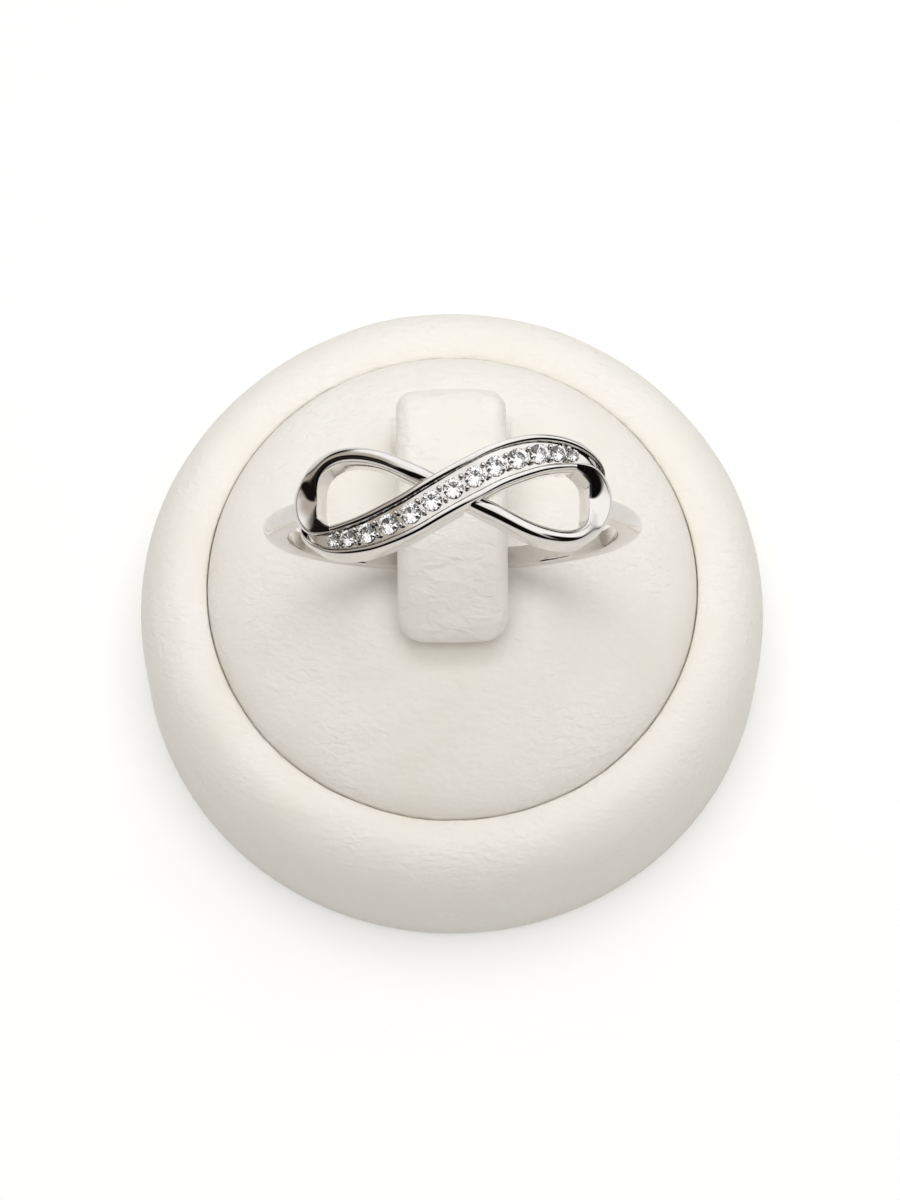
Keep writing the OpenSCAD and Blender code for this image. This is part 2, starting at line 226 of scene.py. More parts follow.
# Two bumps, one on the other: soft cells for the pebbles, and folds that patches let through.
def makeLeatherette(name, s, grain, depth):
    material, tree = startMaterial(name)
    place = addNode(tree, "ShaderNodeTexCoord").outputs["Object"]
    flat = addNode(tree, "ShaderNodeMapping", Vector=place, Scale=s["stretch"]).outputs["Vector"]
    cells = addNode(
        tree, "ShaderNodeTexVoronoi", {"feature": "SMOOTH_F1"},
        Vector=flat, Scale=1 / (s["pebble"] * grain * millimetre), Smoothness=0.5,
    ).outputs["Distance"]
    folds = addNode(
        tree, "ShaderNodeTexNoise", Vector=flat, Scale=1 / (s["wrinkle"] * grain * millimetre),
        Detail=3.0, Roughness=0.5, Distortion=0.8,
    ).outputs["Fac"]
    patch = addNode(
        tree, "ShaderNodeTexNoise", Vector=place, Scale=1 / (s["patch"] * millimetre), Detail=2.0
    ).outputs["Fac"]
    creased = mapRange(tree, patch, s["creasedRange"], s["creasedShare"], soft=True)
    height = addNode(tree, "ShaderNodeMath", {"operation": "MULTIPLY"}, n0=folds, n1=creased).outputs[0]
    fine = addNode(
        tree, "ShaderNodeBump", {"invert": True}, Strength=1.0,
        Distance=s["pebbleDepth"] * depth * millimetre, Height=cells,
    ).outputs["Normal"]
    bump = addNode(
        tree, "ShaderNodeBump", Strength=1.0, Distance=s["wrinkleDepth"] * depth * millimetre,
        Height=height, Normal=fine,
    ).outputs["Normal"]
    rough = mapRange(tree, patch, s["patchRange"], s["roughness"])
    shader = addNode(
        tree,
        "ShaderNodeBsdfPrincipled",
        Base_Color=ramp(tree, patch, list(zip(s["patchRange"], (s["dark"], s["light"])))),
        Roughness=rough,
        Specular_IOR_Level=s["specular"],
        Sheen_Weight=s["sheen"],
        Sheen_Roughness=s["sheenRoughness"],
        Normal=bump,
    )
    addNode(tree, "ShaderNodeOutputMaterial", Surface=shader.outputs["BSDF"])
    return material


rhodium = makeRhodium(rhodiumSet)
zirconia = makeZirconia(zirconiaSet)
standLeather = makeLeatherette("cream_pebbled_leatherette", leatheretteSet, grain=1.0, depth=1.0)
tongueLeather = makeLeatherette("cream_wrinkled_leatherette", leatheretteSet, grain=1.7, depth=1.6)
report("materials made")


# Faces of a grid of points, row by row; closed joins the last column to the first.
def quads(rows, columns, closed=False):
    i, j = np.meshgrid(np.arange(rows - 1), np.arange(columns - (not closed)), indexing="ij")
    k = (j + 1) % columns
    corners = [i * columns + j, i * columns + k, (i + 1) * columns + k, (i + 1) * columns + j]
    return np.stack(corners, -1).reshape(-1, 4)


# Closed skin through equal closed sections (n, m, 3), with a flat face at each end.
def tube(sections):
    n, m = sections.shape[:2]
    faces = quads(n, m, closed=True).tolist()
    faces.append(list(range(m)))
    faces.append(list(range((n - 1) * m, n * m)))
    return sections.reshape(-1, 3), faces


# Puts a piece into the scene: mesh in metres, faces turned outwards, edges sharp above an angle.
def addPiece(name, points, faces, material, slotName, replaced, sharp=40):
    mesh = bpy.data.meshes.new(name)
    mesh.from_pydata((np.asarray(points) * millimetre).tolist(), [], faces)
    bm = bmesh.new()
    bm.from_mesh(mesh)
    bmesh.ops.recalc_face_normals(bm, faces=bm.faces)
    bm.to_mesh(mesh)
    bm.free()
    mesh.polygons.foreach_set("use_smooth", [True] * len(mesh.polygons))
    mesh.set_sharp_from_angle(angle=np.radians(sharp))
    mesh.materials.append(material)
    piece = bpy.data.objects.new(name, mesh)
    bpy.context.scene.collection.objects.link(piece)
    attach(piece, "root")
    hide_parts(*replaced)
    return piece


# The ring: its walls follow two tables of places along and across the infinity, bent round
# the finger.
ringSet = {
    "fingerRadius": 8.85,
    "loopHeight": 2.05,
    "innerLift": 0.8,
    "outerLift": 0.07,
    "infinityLength": 19.3,
    "infinityWidth": 6.15,
    "crossRise": 0.55,
    "wallSpread": 0.18,
    "lean": 10.0,
    "forward": 0.3,
    "restHeight": 13.93,
    "footRounding": 0.06,
}
loopRadius = ringSet["fingerRadius"] + ringSet["loopHeight"]

# Columns: place along and across as shares of half the infinity, width share, rise share
loopRows = np.array([
    [0, 0, 1, -0.5],
    [0.218, -0.344, 1, 0],
    [0.457, -0.656, 0.98, 0],
    [0.676, -0.714, 0.98, 0],
    [0.834, -0.489, 1.22, 0],
    [0.903, -0.006, 2, 0],
    [0.85, 0.38, 1.34, 0],
])
channelRows = np.array([
    [0, 0, 1, 1],
    [0.117, 0.201, 1, 0.92],
    [0.237, 0.403, 1, 0.72],
    [0.36, 0.556, 0.97, 0.48],
    [0.486, 0.669, 0.87, 0.26],
    [0.615, 0.718, 0.7, 0.1],
    [0.729, 0.708, 0.5, 0],
    [0.83, 0.63, 0.34, 0],
    [0.9, 0.5, 0.2, 0],
    [0.926, 0.31, 0.1, -0.5],
])
channelEnd = len(channelRows) - 1
broadRow = 5


# Cubic through a table's rows at places t; before the first row the table is mirrored through its
# first point. Value = b + u/2 (c - a + u (2a - 5b + 4c - d + u (3 (b - c) + d - a))).
def smooth(rows, t):
    last = len(rows) - 1
    whole = np.vstack([rows[:0:-1] * (-1, -1, 1, 1), rows])
    whole = np.vstack([2 * whole[0] - whole[1], whole, 2 * whole[-1] - whole[-2]])
    i = np.clip(np.floor(t), -last, last - 1).astype(int)
    u = (t - i)[:, None]
    a, b, c, d = (whole[i + last + k] for k in range(4))
    return b + 0.5 * u * (c - a + u * (2 * a - 5 * b + 4 * c - d + u * (3 * (b - c) + d - a)))


# Shares to millimetres.
def sized(rows, width):
    s = ringSet
    return rows * (s["infinityLength"] / 2, s["infinityWidth"] / 2, width, s["crossRise"])


# Unit direction to the left of a path of values, seen from outside the ring.
def sideways(values):
    step = np.vstack([values[1:], values[-1:]]) - np.vstack([values[:1], values[:-1]])
    left = np.stack([-step[:, 1], step[:, 0]], -1)
    return left / np.linalg.norm(left, axis=1, keepdims=True)


# Bends a place along and across the infinity round the finger at distance r; walls spread a
# little further round the finger at their feet.
def onFinger(along, across, r):
    a = along / loopRadius * (1 + ringSet["wallSpread"] * (loopRadius - r) / ringSet["loopHeight"])
    return np.stack([r * np.sin(a), across + 0 * a, r * np.cos(a)], -1)


# From the ring's own frame to the stand: leaned forwards about X and set down on the dome.
def onStand(points):
    lean = np.radians(ringSet["lean"])
    radius = ringSet["fingerRadius"] + shankSet["thickness"]
    down = radius * np.cos(lean) + shankSet["width"] / 2 * np.sin(lean)
    y = points[..., 1] * np.cos(lean) - points[..., 2] * np.sin(lean)
    z = points[..., 1] * np.sin(lean) + points[..., 2] * np.cos(lean)
    y = y - ringSet["forward"] - radius * np.sin(lean)
    return np.stack([points[..., 0], y, z + ringSet["restHeight"] + down], -1)


# Sections of a wall along a path. The top line, one for all sections or one for each, has shares
# of the width sideways and drops as shares of edge; the feet stand on the finger, raised by lifts
# (left, right), and have small round corners.
def wall(values, tops, edge, lifts):
    side = sideways(values)
    tops = np.broadcast_to(tops, (len(values), *tops.shape[-2:]))
    half = np.full((len(values), 4), 0.5)
    turn = np.radians([0, 30, 60, 90])
    corner = ringSet["footRounding"]
    feet = ringSet["fingerRadius"] + lifts * ringSet["innerLift"]
    shares = np.hstack([-half, tops[..., 0], half])
    inset = np.zeros(shares.shape[1])
    inset[:4] = corner * (1 - np.sin(turn))
    inset[-4:] = -corner * (1 - np.sin(turn[::-1]))
    out = shares * values[:, 2:3] + inset
    r = np.empty_like(out)
    r[:, :4] = feet[:, :1] + corner * (1 - np.cos(turn))
    r[:, 4:-4] = loopRadius + values[:, 3:4] - tops[..., 1] * edge
    r[:, -4:] = feet[:, 1:] + corner * (1 - np.cos(turn[::-1]))
    along = values[:, :1] + out * side[:, :1]
    across = values[:, 1:2] + out * side[:, 1:2]
    return onStand(onFinger(along, across, r))


# Top line of a wall: sideways 0.5 sin a, drop 1 - cos a, both to 2 / power, so that 2 is an
# ellipse and more is flatter with rounder shoulders.
def domedTop(drop, power, count):
    a = np.linspace(-np.pi / 2, np.pi / 2, count)
    share = 0.5 * np.sign(a) * np.abs(np.sin(a)) ** (2 / power)
    return np.stack([share, drop * (1 - np.abs(np.cos(a)) ** (2 / power))], -1)


# Shank: half-round wire, flat inside with eased edges
shankSet = {
    "thickness": 1.35,
    "width": 1.1,
    "dome": 0.65,
    "edge": 0.15,
    "outside": 21,
    "corner": 6,
    "stations": 240,
}


# A section carried round the finger: an elliptic outside, straight sides and an inside with small
# round edges, at [r sin a, y, r cos a].
def makeShank(s):
    inner = ringSet["fingerRadius"]
    end = loopRows[broadRow, 0] * ringSet["infinityLength"] / 2 / loopRadius
    end *= 1 + ringSet["wallSpread"] * (loopRadius - inner - s["thickness"] / 2) / ringSet["loopHeight"]
    a = np.radians(np.linspace(-90, 90, s["outside"]))
    middle = inner + s["thickness"] - s["dome"]
    outside = np.stack([middle + s["dome"] * np.cos(a), s["width"] / 2 * np.sin(a)], -1)
    b = np.radians(np.linspace(90, 180, s["corner"]))
    corner = s["width"] / 2 - s["edge"]
    upper = np.stack([inner + s["edge"] * (1 + np.cos(b)), corner + s["edge"] * np.sin(b)], -1)
    section = np.vstack([outside, upper, upper[::-1] * (1, -1)])
    turn = np.linspace(end, 2 * np.pi - end, s["stations"])[:, None]
    r, y = section[:, 0], section[:, 1]
    points = np.stack([r * np.sin(turn), y + 0 * turn, r * np.cos(turn)], -1)
    return tube(onStand(points))


# Plain strand: one domed band through both loops and under the crossing
strandSet = {
    "width": 0.87,
    "drop": 0.46,
    "power": 2.0,
    "top": 41,
    "steps": 30,
    "rim": 0.09,
    "rimDrop": 0.14,
    "crest": 0.15,
    "hollowDrop": 0.5,
    "ledge": 0.975,
    "ledgeDrop": 0.06,
    "hollowFrom": 3.4,
    "hollowTo": 4.9,
}
railSet = {
    "width": 0.42,
    "drop": 0.5,
    "power": 2.0,
    "top": 21,
    "steps": 24,
    "joinWidth": 0.84,
    "joinDrop": 0.04,
    "tipShare": 0.35,
    "tipRows": 3,
}
channelSet = {
    "width": 1.45,
    "depth": 0.32,
    "floorLift": 0.12,
    "across": 73,
    "below": 25,
    "steps": 36,
    "sideStep": 0.05,
    "overlap": 0.6,
    "seatFlat": 0.25,
    "holeShare": 0.5,
    "holeEdge": 0.06,
    "holeDepth": 0.7,
    "leftOver": 0.75,
}
joinRows = np.array([6.0, 5.0])


# The channel's rows in millimetres at places t.
def channelAt(t):
    return sized(smooth(channelRows, t), channelSet["width"])


# Sideways direction of the channel, from places a little before and after.
def channelSide(t):
    h = channelSet["sideStep"]
    step = channelAt(np.minimum(t + h, channelEnd)) - channelAt(np.maximum(t - h, -channelEnd))
    left = np.stack([-step[:, 1], step[:, 0]], -1)
    return left / np.linalg.norm(left, axis=1, keepdims=True)


# Middle of the rail beside the channel, half a channel and half a rail to one side. The outer
# rail narrows towards its end.
def railAt(t, side):
    c = channelAt(t)
    tip = railSet["tipShare"]
    width = railSet["width"] * np.minimum(1, tip + (1 - tip) * (channelEnd - t) / railSet["tipRows"])
    c[:, :2] += side * (c[:, 2:3] + width[:, None]) / 2 * channelSide(t)
    c[:, 2] = width
    return c


# Top line of the broad band at the end of a loop, from its outer edge: a narrow round rim, a
# hollow face that falls inwards and flattens out, drop 1 - (1 - q)^1.5, and a crisp ledge.
def hollowTop(domed, s):
    u = domed[:, 0] + 0.5
    rim = s["rimDrop"] * (1 - np.sqrt(np.clip(1 - np.clip(1 - u / s["rim"], 0, 1) ** 2, 0, 1)))
    q = np.clip((u - s["crest"]) / (s["ledge"] - s["crest"]), 0, 1)
    face = s["hollowDrop"] * (1 - (1 - q) ** 1.5)
    edge = s["ledgeDrop"] * np.clip((u - s["ledge"]) / (1 - s["ledge"]), 0, 1) ** 2
    return np.stack([domed[:, 0], rim + face + edge], -1)


# Domed wall through the loop table, and on into the inner rails at both ends. Its top line turns
# from the dome into the hollow face as the band broadens.
def makeStrand(s):
    join = railAt(joinRows, -1)
    join[:, 2] *= railSet["joinWidth"]
    join[:, 3] -= railSet["joinDrop"]
    rows = np.vstack([sized(loopRows, s["width"]), join])
    n = len(rows) - 1
    t = np.linspace(-n, n, 2 * n * s["steps"] + 1)
    values = smooth(rows, t)
    domed = domedTop(s["drop"], s["power"], s["top"])
    hollow = hollowTop(domed, s)
    share = np.clip((np.abs(t) - s["hollowFrom"]) / (s["hollowTo"] - s["hollowFrom"]), 0, 1)
    share = (share**2 * (3 - 2 * share))[:, None, None]
    deep = np.clip(values[:, 2:3] / s["width"] / 2, 0, 1)
    inward = np.where((t > 0)[:, None, None], hollow, hollow[::-1] * (-1, 1))
    inward[..., 1] *= deep
    tops = domed * (1 - share) + inward * share
    return tube(wall(values, tops, s["width"], np.zeros((len(values), 2))))


# Rail with a half-round polished top, outside the stones of one loop and inside those of the
# other: a domed wall along the channel's side.
def makeRail(s, turned):
    t = np.linspace(-joinRows[0], channelEnd, int((channelEnd + joinRows[0]) * s["steps"]) + 1)
    values = railAt(t, 1)
    if turned:
        values[:, :2] *= -1
    lift = np.where(t < 0, 1.0, ringSet["outerLift"])
    lifts = np.stack([lift, lift], -1)
    return tube(wall(values, domedTop(s["drop"], s["power"], s["top"]), s["width"], lifts))


# Stones, from the middle one outwards
stoneSet = {
    "diameter": 1.1,
    "shares": [1, 1, 1, 1, 0.97, 0.8, 0.6],
    "space": 0.19,
    "gap": 0.03,
    "girdleLift": 0.3,
    "table": 0.56,
    "crown": 0.15,
    "pavilion": 0.4,
    "girdle": 0.05,
    "starRadius": 0.4,
    "lowerRadius": 0.13,
    "steps": 400,
}


# Places along the channel: each stone lies half of both diameters and a space further.
def stonePlaces(s):
    t = np.linspace(0, channelEnd, s["steps"])
    path = channelAt(t)[:, :2]
    length = np.concatenate([[0], np.cumsum(np.linalg.norm(np.diff(path, axis=0), axis=1))])
    sizes = s["diameter"] * np.array(s["shares"])
    reach = np.concatenate([[0], np.cumsum((sizes[1:] + sizes[:-1]) / 2 + s["space"])])
    half = np.interp(reach, length, t)
    return np.concatenate([-half[:0:-1], half]), np.concatenate([sizes[:0:-1], sizes])


# Point above the channel's floor at place t, and its direction round the finger.
def channelPoint(t, shift, height):
    c = channelAt(t)
    place = c[:, :2] + np.asarray(shift)[:, None] * channelSide(t)
    r = loopRadius + c[:, 3] - channelSet["depth"] + height
    a = place[:, 0] / loopRadius
    return onFinger(place[:, 0], place[:, 1], r), a


stonePlace, stoneSize = stonePlaces(stoneSet)
stoneCentre, stoneTurn = channelPoint(
    stonePlace, 0 * stonePlace, stoneSet["girdleLift"] * channelSet["depth"]
)
stoneAxis = np.stack([np.sin(stoneTurn), 0 * stoneTurn, np.cos(stoneTurn)], -1)


# Closed slab between the rails: a top with a cone-shaped seat under every stone, and an underside
# with a round hole below it, both as the distance from the stones' axes says.
def makeFloor(s):
    t = np.linspace(-channelEnd, channelEnd, 2 * channelEnd * s["steps"] + 1)
    values = channelAt(t)
    side = sideways(values)
    top = np.linspace(-s["overlap"], s["overlap"], s["across"])
    below = np.linspace(s["overlap"], -s["overlap"], s["below"])
    out = np.concatenate([top, below]) * values[:, 2:3]
    lift = ringSet["innerLift"]
    left = np.where(t > 0, 1.0, ringSet["outerLift"]) + s["floorLift"]
    right = np.where(t < 0, 1.0, ringSet["outerLift"]) + s["floorLift"]
    share = (below / s["overlap"] + 1) / 2
    feet = ringSet["fingerRadius"] + lift * (left[:, None] * (1 - share) + right[:, None] * share)
    upper = loopRadius + values[:, 3:4] - s["depth"] + 0 * top
    r = np.hstack([upper, feet])
    along = values[:, :1] + out * side[:, :1]
    across = values[:, 1:2] + out * side[:, 1:2]
    points = onFinger(along, across, r)
    away = points[:, :, None, :] - stoneCentre
    height = (away * stoneAxis).sum(-1)
    distance = np.sqrt(np.maximum((away**2).sum(-1) - height**2, 0))
    wide = stoneSize / 2 + stoneSet["gap"]
    deep = stoneSet["pavilion"] * stoneSize + stoneSet["gap"]
    flat = s["seatFlat"]
    seat = deep * (1 - (np.maximum(distance / wide, flat) - flat) / (1 - flat))
    seat = np.clip(seat - stoneSet["girdleLift"] * s["depth"], 0, None).max(-1)
    hole = np.clip((s["holeShare"] * wide - distance) / s["holeEdge"], 0, 1).max(-1) * s["holeDepth"]
    n = s["across"]
    r[:, :n] -= seat[:, :n]
    r[:, n:] += np.minimum(hole[:, n:], upper[:, :1] - feet - s["leftOver"])
    return tube(onStand(onFinger(along, across, r)))


# Beads: grains of metal raised at the four corners of every stone
beadSet = {"diameter": 0.3, "root": 0.12, "around": 14, "up": 9}


# Round heads on short posts: a profile of radius and height turned about the stone's axis.
def makeBeads(s):
    pairs = (stonePlace[1:] + stonePlace[:-1]) / 2
    size = (stoneSize[1:] + stoneSize[:-1]) / 2
    touch = size / 2 + stoneSet["gap"] + s["diameter"] / 2
    reach = np.sqrt(touch**2 - ((size + stoneSet["space"]) / 2) ** 2)
    reach = np.minimum(reach, channelAt(pairs)[:, 2] / 2)
    t = np.concatenate([pairs, pairs])
    shift = np.concatenate([reach, -reach])
    radius = s["diameter"] / 2
    a = np.linspace(0, np.pi / 2, s["up"])
    profileR = np.concatenate([[radius], radius * np.cos(a)])
    profileZ = np.concatenate([[-s["root"]], channelSet["depth"] - radius + radius * np.sin(a)])
    profileR[-1] = 0.0
    base, turn = channelPoint(t, shift, 0)
    out = np.stack([np.sin(turn), 0 * turn, np.cos(turn)], -1)
    roundWay = np.stack([np.cos(turn), 0 * turn, -np.sin(turn)], -1)
    b = np.arange(s["around"]) / s["around"] * 2 * np.pi
    rings = (
        base[:, None, None]
        + profileZ[:, None, None] * out[:, None, None]
        + profileR[:, None, None] * np.cos(b)[:, None] * roundWay[:, None, None]
        + profileR[:, None, None] * np.sin(b)[:, None] * np.array([0, 1, 0])
    )
    one = quads(len(profileR), s["around"], closed=True)
    count = len(profileR) * s["around"]
    faces = []
    for k in range(len(t)):
        faces += (one + k * count).tolist() + [list(range(k * count, k * count + s["around"]))]
    return onStand(rings).reshape(-1, 3), faces


# Round brilliant of diameter d: table, eight stars, eight kites, sixteen upper facets, a girdle,
# sixteen lower facets and eight mains that meet in the point. The points' numbers: table from 0,
# star tips from 8, the girdle's edges from 16 and 32, lower tips from 48, the point 56.
def brilliant(d, s):
    eighth = np.arange(8) * np.pi / 4
    sixteenth = np.arange(16) * np.pi / 8

    def circle(r, z, a):
        return np.stack([r * np.cos(a), r * np.sin(a), z + 0 * a], -1)

    table = s["table"] / 2
    top = s["girdle"] + s["crown"]
    crownSlope = s["crown"] / (0.5 - table)
    mainSlope = s["pavilion"] / 0.5
    half = np.cos(np.pi / 8)
    starZ = top - (s["starRadius"] * half - table) * crownSlope
    lowerZ = -(0.5 - s["lowerRadius"] * half) * mainSlope
    points = np.vstack([
        circle(table, top, eighth),
        circle(s["starRadius"], starZ, eighth + np.pi / 8),
        circle(0.5, s["girdle"], sixteenth),
        circle(0.5, 0.0, sixteenth),
        circle(s["lowerRadius"], lowerZ, eighth + np.pi / 8),
        [[0, 0, -s["pavilion"]]],
    ])
    faces = [list(range(8))]
    for k in range(8):
        n, p = (k + 1) % 8, (k - 1) % 8
        g, h, m = 16 + 2 * k, 17 + 2 * k, 16 + (2 * k + 2) % 16
        faces += [[k, 8 + k, n], [k, 8 + p, g, 8 + k], [8 + k, g, h], [8 + k, h, m]]
        faces += [[g, g + 16, h + 16, h], [h, h + 16, m + 16, m]]
        faces += [[48 + k, h + 16, g + 16], [48 + k, m + 16, h + 16], [56, 48 + k, g + 16, 48 + p]]
    return points * d, faces


ringNode = ("ring_metal",)
addPiece("shank", *makeShank(shankSet), rhodium, "metal", ringNode)
addPiece("plain_strand", *makeStrand(strandSet), rhodium, "metal", ringNode)
addPiece("long_rail_right", *makeRail(railSet, False), rhodium, "metal", ringNode)
addPiece("long_rail_left", *makeRail(railSet, True), rhodium, "metal", ringNode)
addPiece("stone_channel", *makeFloor(channelSet), rhodium, "metal", ringNode, sharp=50)
addPiece("bead_prongs", *makeBeads(beadSet), rhodium, "metal", ringNode)
for i, (centre, turn, size) in enumerate(zip(stoneCentre, stoneTurn, stoneSize)):
    points, faces = brilliant(size, stoneSet)
    x, y, z = points.T
    points = np.stack([x * np.cos(turn) + z * np.sin(turn), y, z * np.cos(turn) - x * np.sin(turn)], -1)
    points = onStand(points + centre)
    number = f"{i + 1:02d}"
    addPiece("brilliant_" + number, points, faces, zirconia, "stone", ("stone_" + number,), sharp=1)
report("ring made")


# The stand: leatherette over padded cores
standSet = {
    "baseRadius": 17.8,
    "footRadius": 17.75,
    "baseHeight": 9.9,
    "bulgeHeight": 5.4,
    "domeRadius": 13.8,
    "domeHeight": 4.5,
    "creaseDepth": 0.55,
    "wellDepth": 2.5,
    "gap": 0.08,
    "press": 0.06,
    "rimInset": 1.3,
    "footRounding": 0.5,
    "domePower": 2.05,
    "around": 288,
    "underRings": (0, 4, 8, 12, 15),
    "wellRings": (10, 5, 0),
    "footSteps": 6,
    "sideSteps": 14,
    "bulgeSteps": 44,
    "creaseSteps": 20,
    "creaseStart": 94,
    "wellEdge": 0.5,
}
# The padding: how full it is, and how soft. It is firm below a height and at the crease, and
# soft above and beyond.
padSet = {
    "firmHeight": 0.6,
    "softRise": 2.0,
    "softRim": 1.2,
    "settled": 0.05,
    "sideShare": 0.4,
    "puckerReach": 0.9,
    "standFill": 0.8,
    "tongueFill": 0.7,
}
creaseHeight = standSet["baseHeight"] - standSet["creaseDepth"]
domeTop = creaseHeight + standSet["domeHeight"]
touching = 0.01


# Soft unevenness: a sum of sines round the stand and along the profile. Columns of the table:
# size in millimetres, waves round, waves along, phase.
def waves(angle, place, table):
    return sum(size * np.sin(n * angle + m * place + phase) for size, n, m, phase in table)


padWaves = [
    (0.035, 3, 0.4, 0.3),
    (0.028, 5, 0.9, 2.1),
    (0.02, 8, 1.3, 4.0),
    (0.014, 13, 2.1, 1.2),
    (0.009, 21, 3.1, 5.1),
]
creaseWaves = [(0.035, 9, 0, 1.0), (0.03, 17, 0, 2.6), (0.022, 31, 0, 0.4), (0.015, 53, 0, 3.3)]


# A profile of radius and height turned about Z; move gives the displacement of every point in
# radius and height.
def turned(profile, s, move):
    angle = np.arange(s["around"]) / s["around"] * 2 * np.pi
    r, z = profile[:, :1] + 0 * angle, profile[:, 1:] + 0 * angle
    dr, dz = move(angle, r, z)
    r, z = r + dr, z + dz
    return np.stack([r * np.cos(angle), r * np.sin(angle), z], -1)


# Part of an ellipse: middle + (rx cos a, rz sin a), angles in degrees.
def arc(middle, rx, rz, start, end, count):
    a = np.radians(np.linspace(start, end, count))
    return np.stack([middle[0] + rx * np.cos(a), middle[1] + rz * np.sin(a)], -1)


# Skin of a turned profile whose first and last rings lie on the axis.
def closeEnds(points):
    n, m = points.shape[:2]
    faces = quads(n, m, closed=True)
    flat = np.concatenate([points[1:-1].reshape(-1, 3), points[0, :1], points[-1, :1]])
    body = (n - 2) * m
    index = np.concatenate([np.full(m, body), np.arange(body), np.full(m, body + 1)])
    faces = index[faces]
    triangles = [list(dict.fromkeys(f)) for f in faces[:m].tolist() + faces[-m:].tolist()]
    return flat, faces[m:-m].tolist() + triangles


# Lower tier: flat foot, bulging padded rim that rolls over into the crease, and the well.
def makeBase(s):
    well = s["domeRadius"] + s["gap"]
    crest = well + s["rimInset"]
    bottom = s["baseHeight"] - s["wellDepth"]
    foot = (s["footRadius"] - s["footRounding"], s["footRounding"])
    side = np.linspace(foot, (s["baseRadius"], s["bulgeHeight"]), s["sideSteps"])
    side[:, 0] = np.linspace(s["footRadius"], s["baseRadius"], s["sideSteps"])
    rim = (s["baseRadius"] - crest, s["baseHeight"] - s["bulgeHeight"])
    crease = (s["rimInset"], s["creaseDepth"])
    profile = np.vstack([
        [[r, 0] for r in s["underRings"]],
        arc(foot, s["footRounding"], s["footRounding"], -90, 0, s["footSteps"])[:-1],
        side[:-1],
        arc((crest, s["bulgeHeight"]), *rim, 0, 90, s["bulgeSteps"]),
        arc((crest, creaseHeight), *crease, s["creaseStart"], 180, s["creaseSteps"]),
        [[well, creaseHeight - s["wellEdge"]], [well, bottom]],
        [[r, bottom] for r in s["wellRings"]],
    ])

    def move(angle, r, z):
        soft = np.clip((z - padSet["firmHeight"]) / padSet["softRise"], 0, 1)
        soft = soft * np.clip((r - well) / padSet["softRim"], 0, 1)
        swell = (waves(angle, r + z, padWaves) - padSet["settled"]) * soft
        pucker = waves(angle, r, creaseWaves) * np.exp(-(((r - well) / padSet["puckerReach"]) ** 2))
        return padSet["sideShare"] * swell, swell + pucker * (z > creaseHeight - touching)

    return closeEnds(turned(profile, s, move))


# The dome's own profile, and the slit in its skin round the tongue's back leg
domeSet = {
    "steps": 120,
    "crowding": 0.9,
    "pressFrom": 0.25,
    "pressTo": 0.8,
    "pressEnd": 1.2,
    "underRings": (9, 4, 0),
    "calmMiddle": 8.0,
    "calmEdge": 2.0,
    "slitEdge": 0.3,
    "slitDepth": 0.6,
    "lipDepth": 0.22,
    "lipReach": 0.55,
}
tongueSet = {
    "width": 6.1,
    "thickness": 2.0,
    "crown": 0.25,
    "front": 4.8,
    "back": 8.6,
    "fold": 2.2,
    "nose": 1.0,
    "rounding": 0.6,
    "outerRounding": 0.85,
    "socketDepth": 2.0,
    "power": 3,
    "slopeShare": 1.1,
    "noseTuck": 0.3,
    "corner": 11,
    "face": 31,
    "noseSteps": 14,
    "runSteps": 108,
    "foldSteps": 50,
    "legSteps": 29,
    "calmNose": 1.5,
    "calmLeg": 2.0,
    "faceFrom": 0.7,
}
# Columns: size in millimetres, waves along the strip, waves across it, phase
tongueWaves = [(0.03, 0.9, 1.1, 0.0), (0.018, 2.3, -0.8, 1.0)]


# Height of the dome's skin: a superellipse of the distance from the axis.
def domeHeightAt(r):
    s = standSet
    share = np.clip(1 - np.abs(r / s["domeRadius"]) ** s["domePower"], 0, None)
    return creaseHeight + s["domeHeight"] * share ** (1 / s["domePower"])


# Upper tier: a padded dome, with the slit that the tongue's back leg goes into.
def makeDome(s, own):
    bottom = s["baseHeight"] - s["wellDepth"] + s["gap"]
    pressed = s["domeRadius"] + s["press"]
    r = s["domeRadius"] * np.sin(np.linspace(0, 1, own["steps"]) * np.pi / 2) ** own["crowding"]
    profile = np.vstack([
        np.stack([r, domeHeightAt(r)], -1),
        [[pressed, creaseHeight - own["pressFrom"]], [pressed, creaseHeight - own["pressTo"]]],
        [[s["domeRadius"], creaseHeight - own["pressEnd"]], [s["domeRadius"], bottom]],
        [[r, bottom] for r in own["underRings"]],
    ])
    halfWidth = tongueSet["width"] / 2 + s["gap"]
    front = tongueSet["back"] - tongueSet["thickness"] - s["gap"]
    back = tongueSet["back"] + tongueSet["crown"] + s["gap"]

    def move(angle, r, z):
        x, y = r * np.cos(angle), r * np.sin(angle)
        calm = np.clip(r / own["calmMiddle"], 0, 1) * np.clip((s["domeRadius"] - r) / own["calmEdge"], 0, 1)
        swell = waves(angle, r, padWaves) * calm
        sideGap = np.maximum(np.abs(x) - halfWidth, 0)
        depthGap = np.maximum(np.maximum(front - y, y - back), 0)
        out = np.hypot(sideGap, depthGap)
        slit = np.clip(1 - out / own["slitEdge"], 0, 1) * own["slitDepth"]
        lip = own["lipDepth"] * np.exp(-((out / own["lipReach"]) ** 2))
        return 0 * r, (swell - np.maximum(slit, lip)) * (z > creaseHeight - touching)

    return closeEnds(turned(profile, s, move))


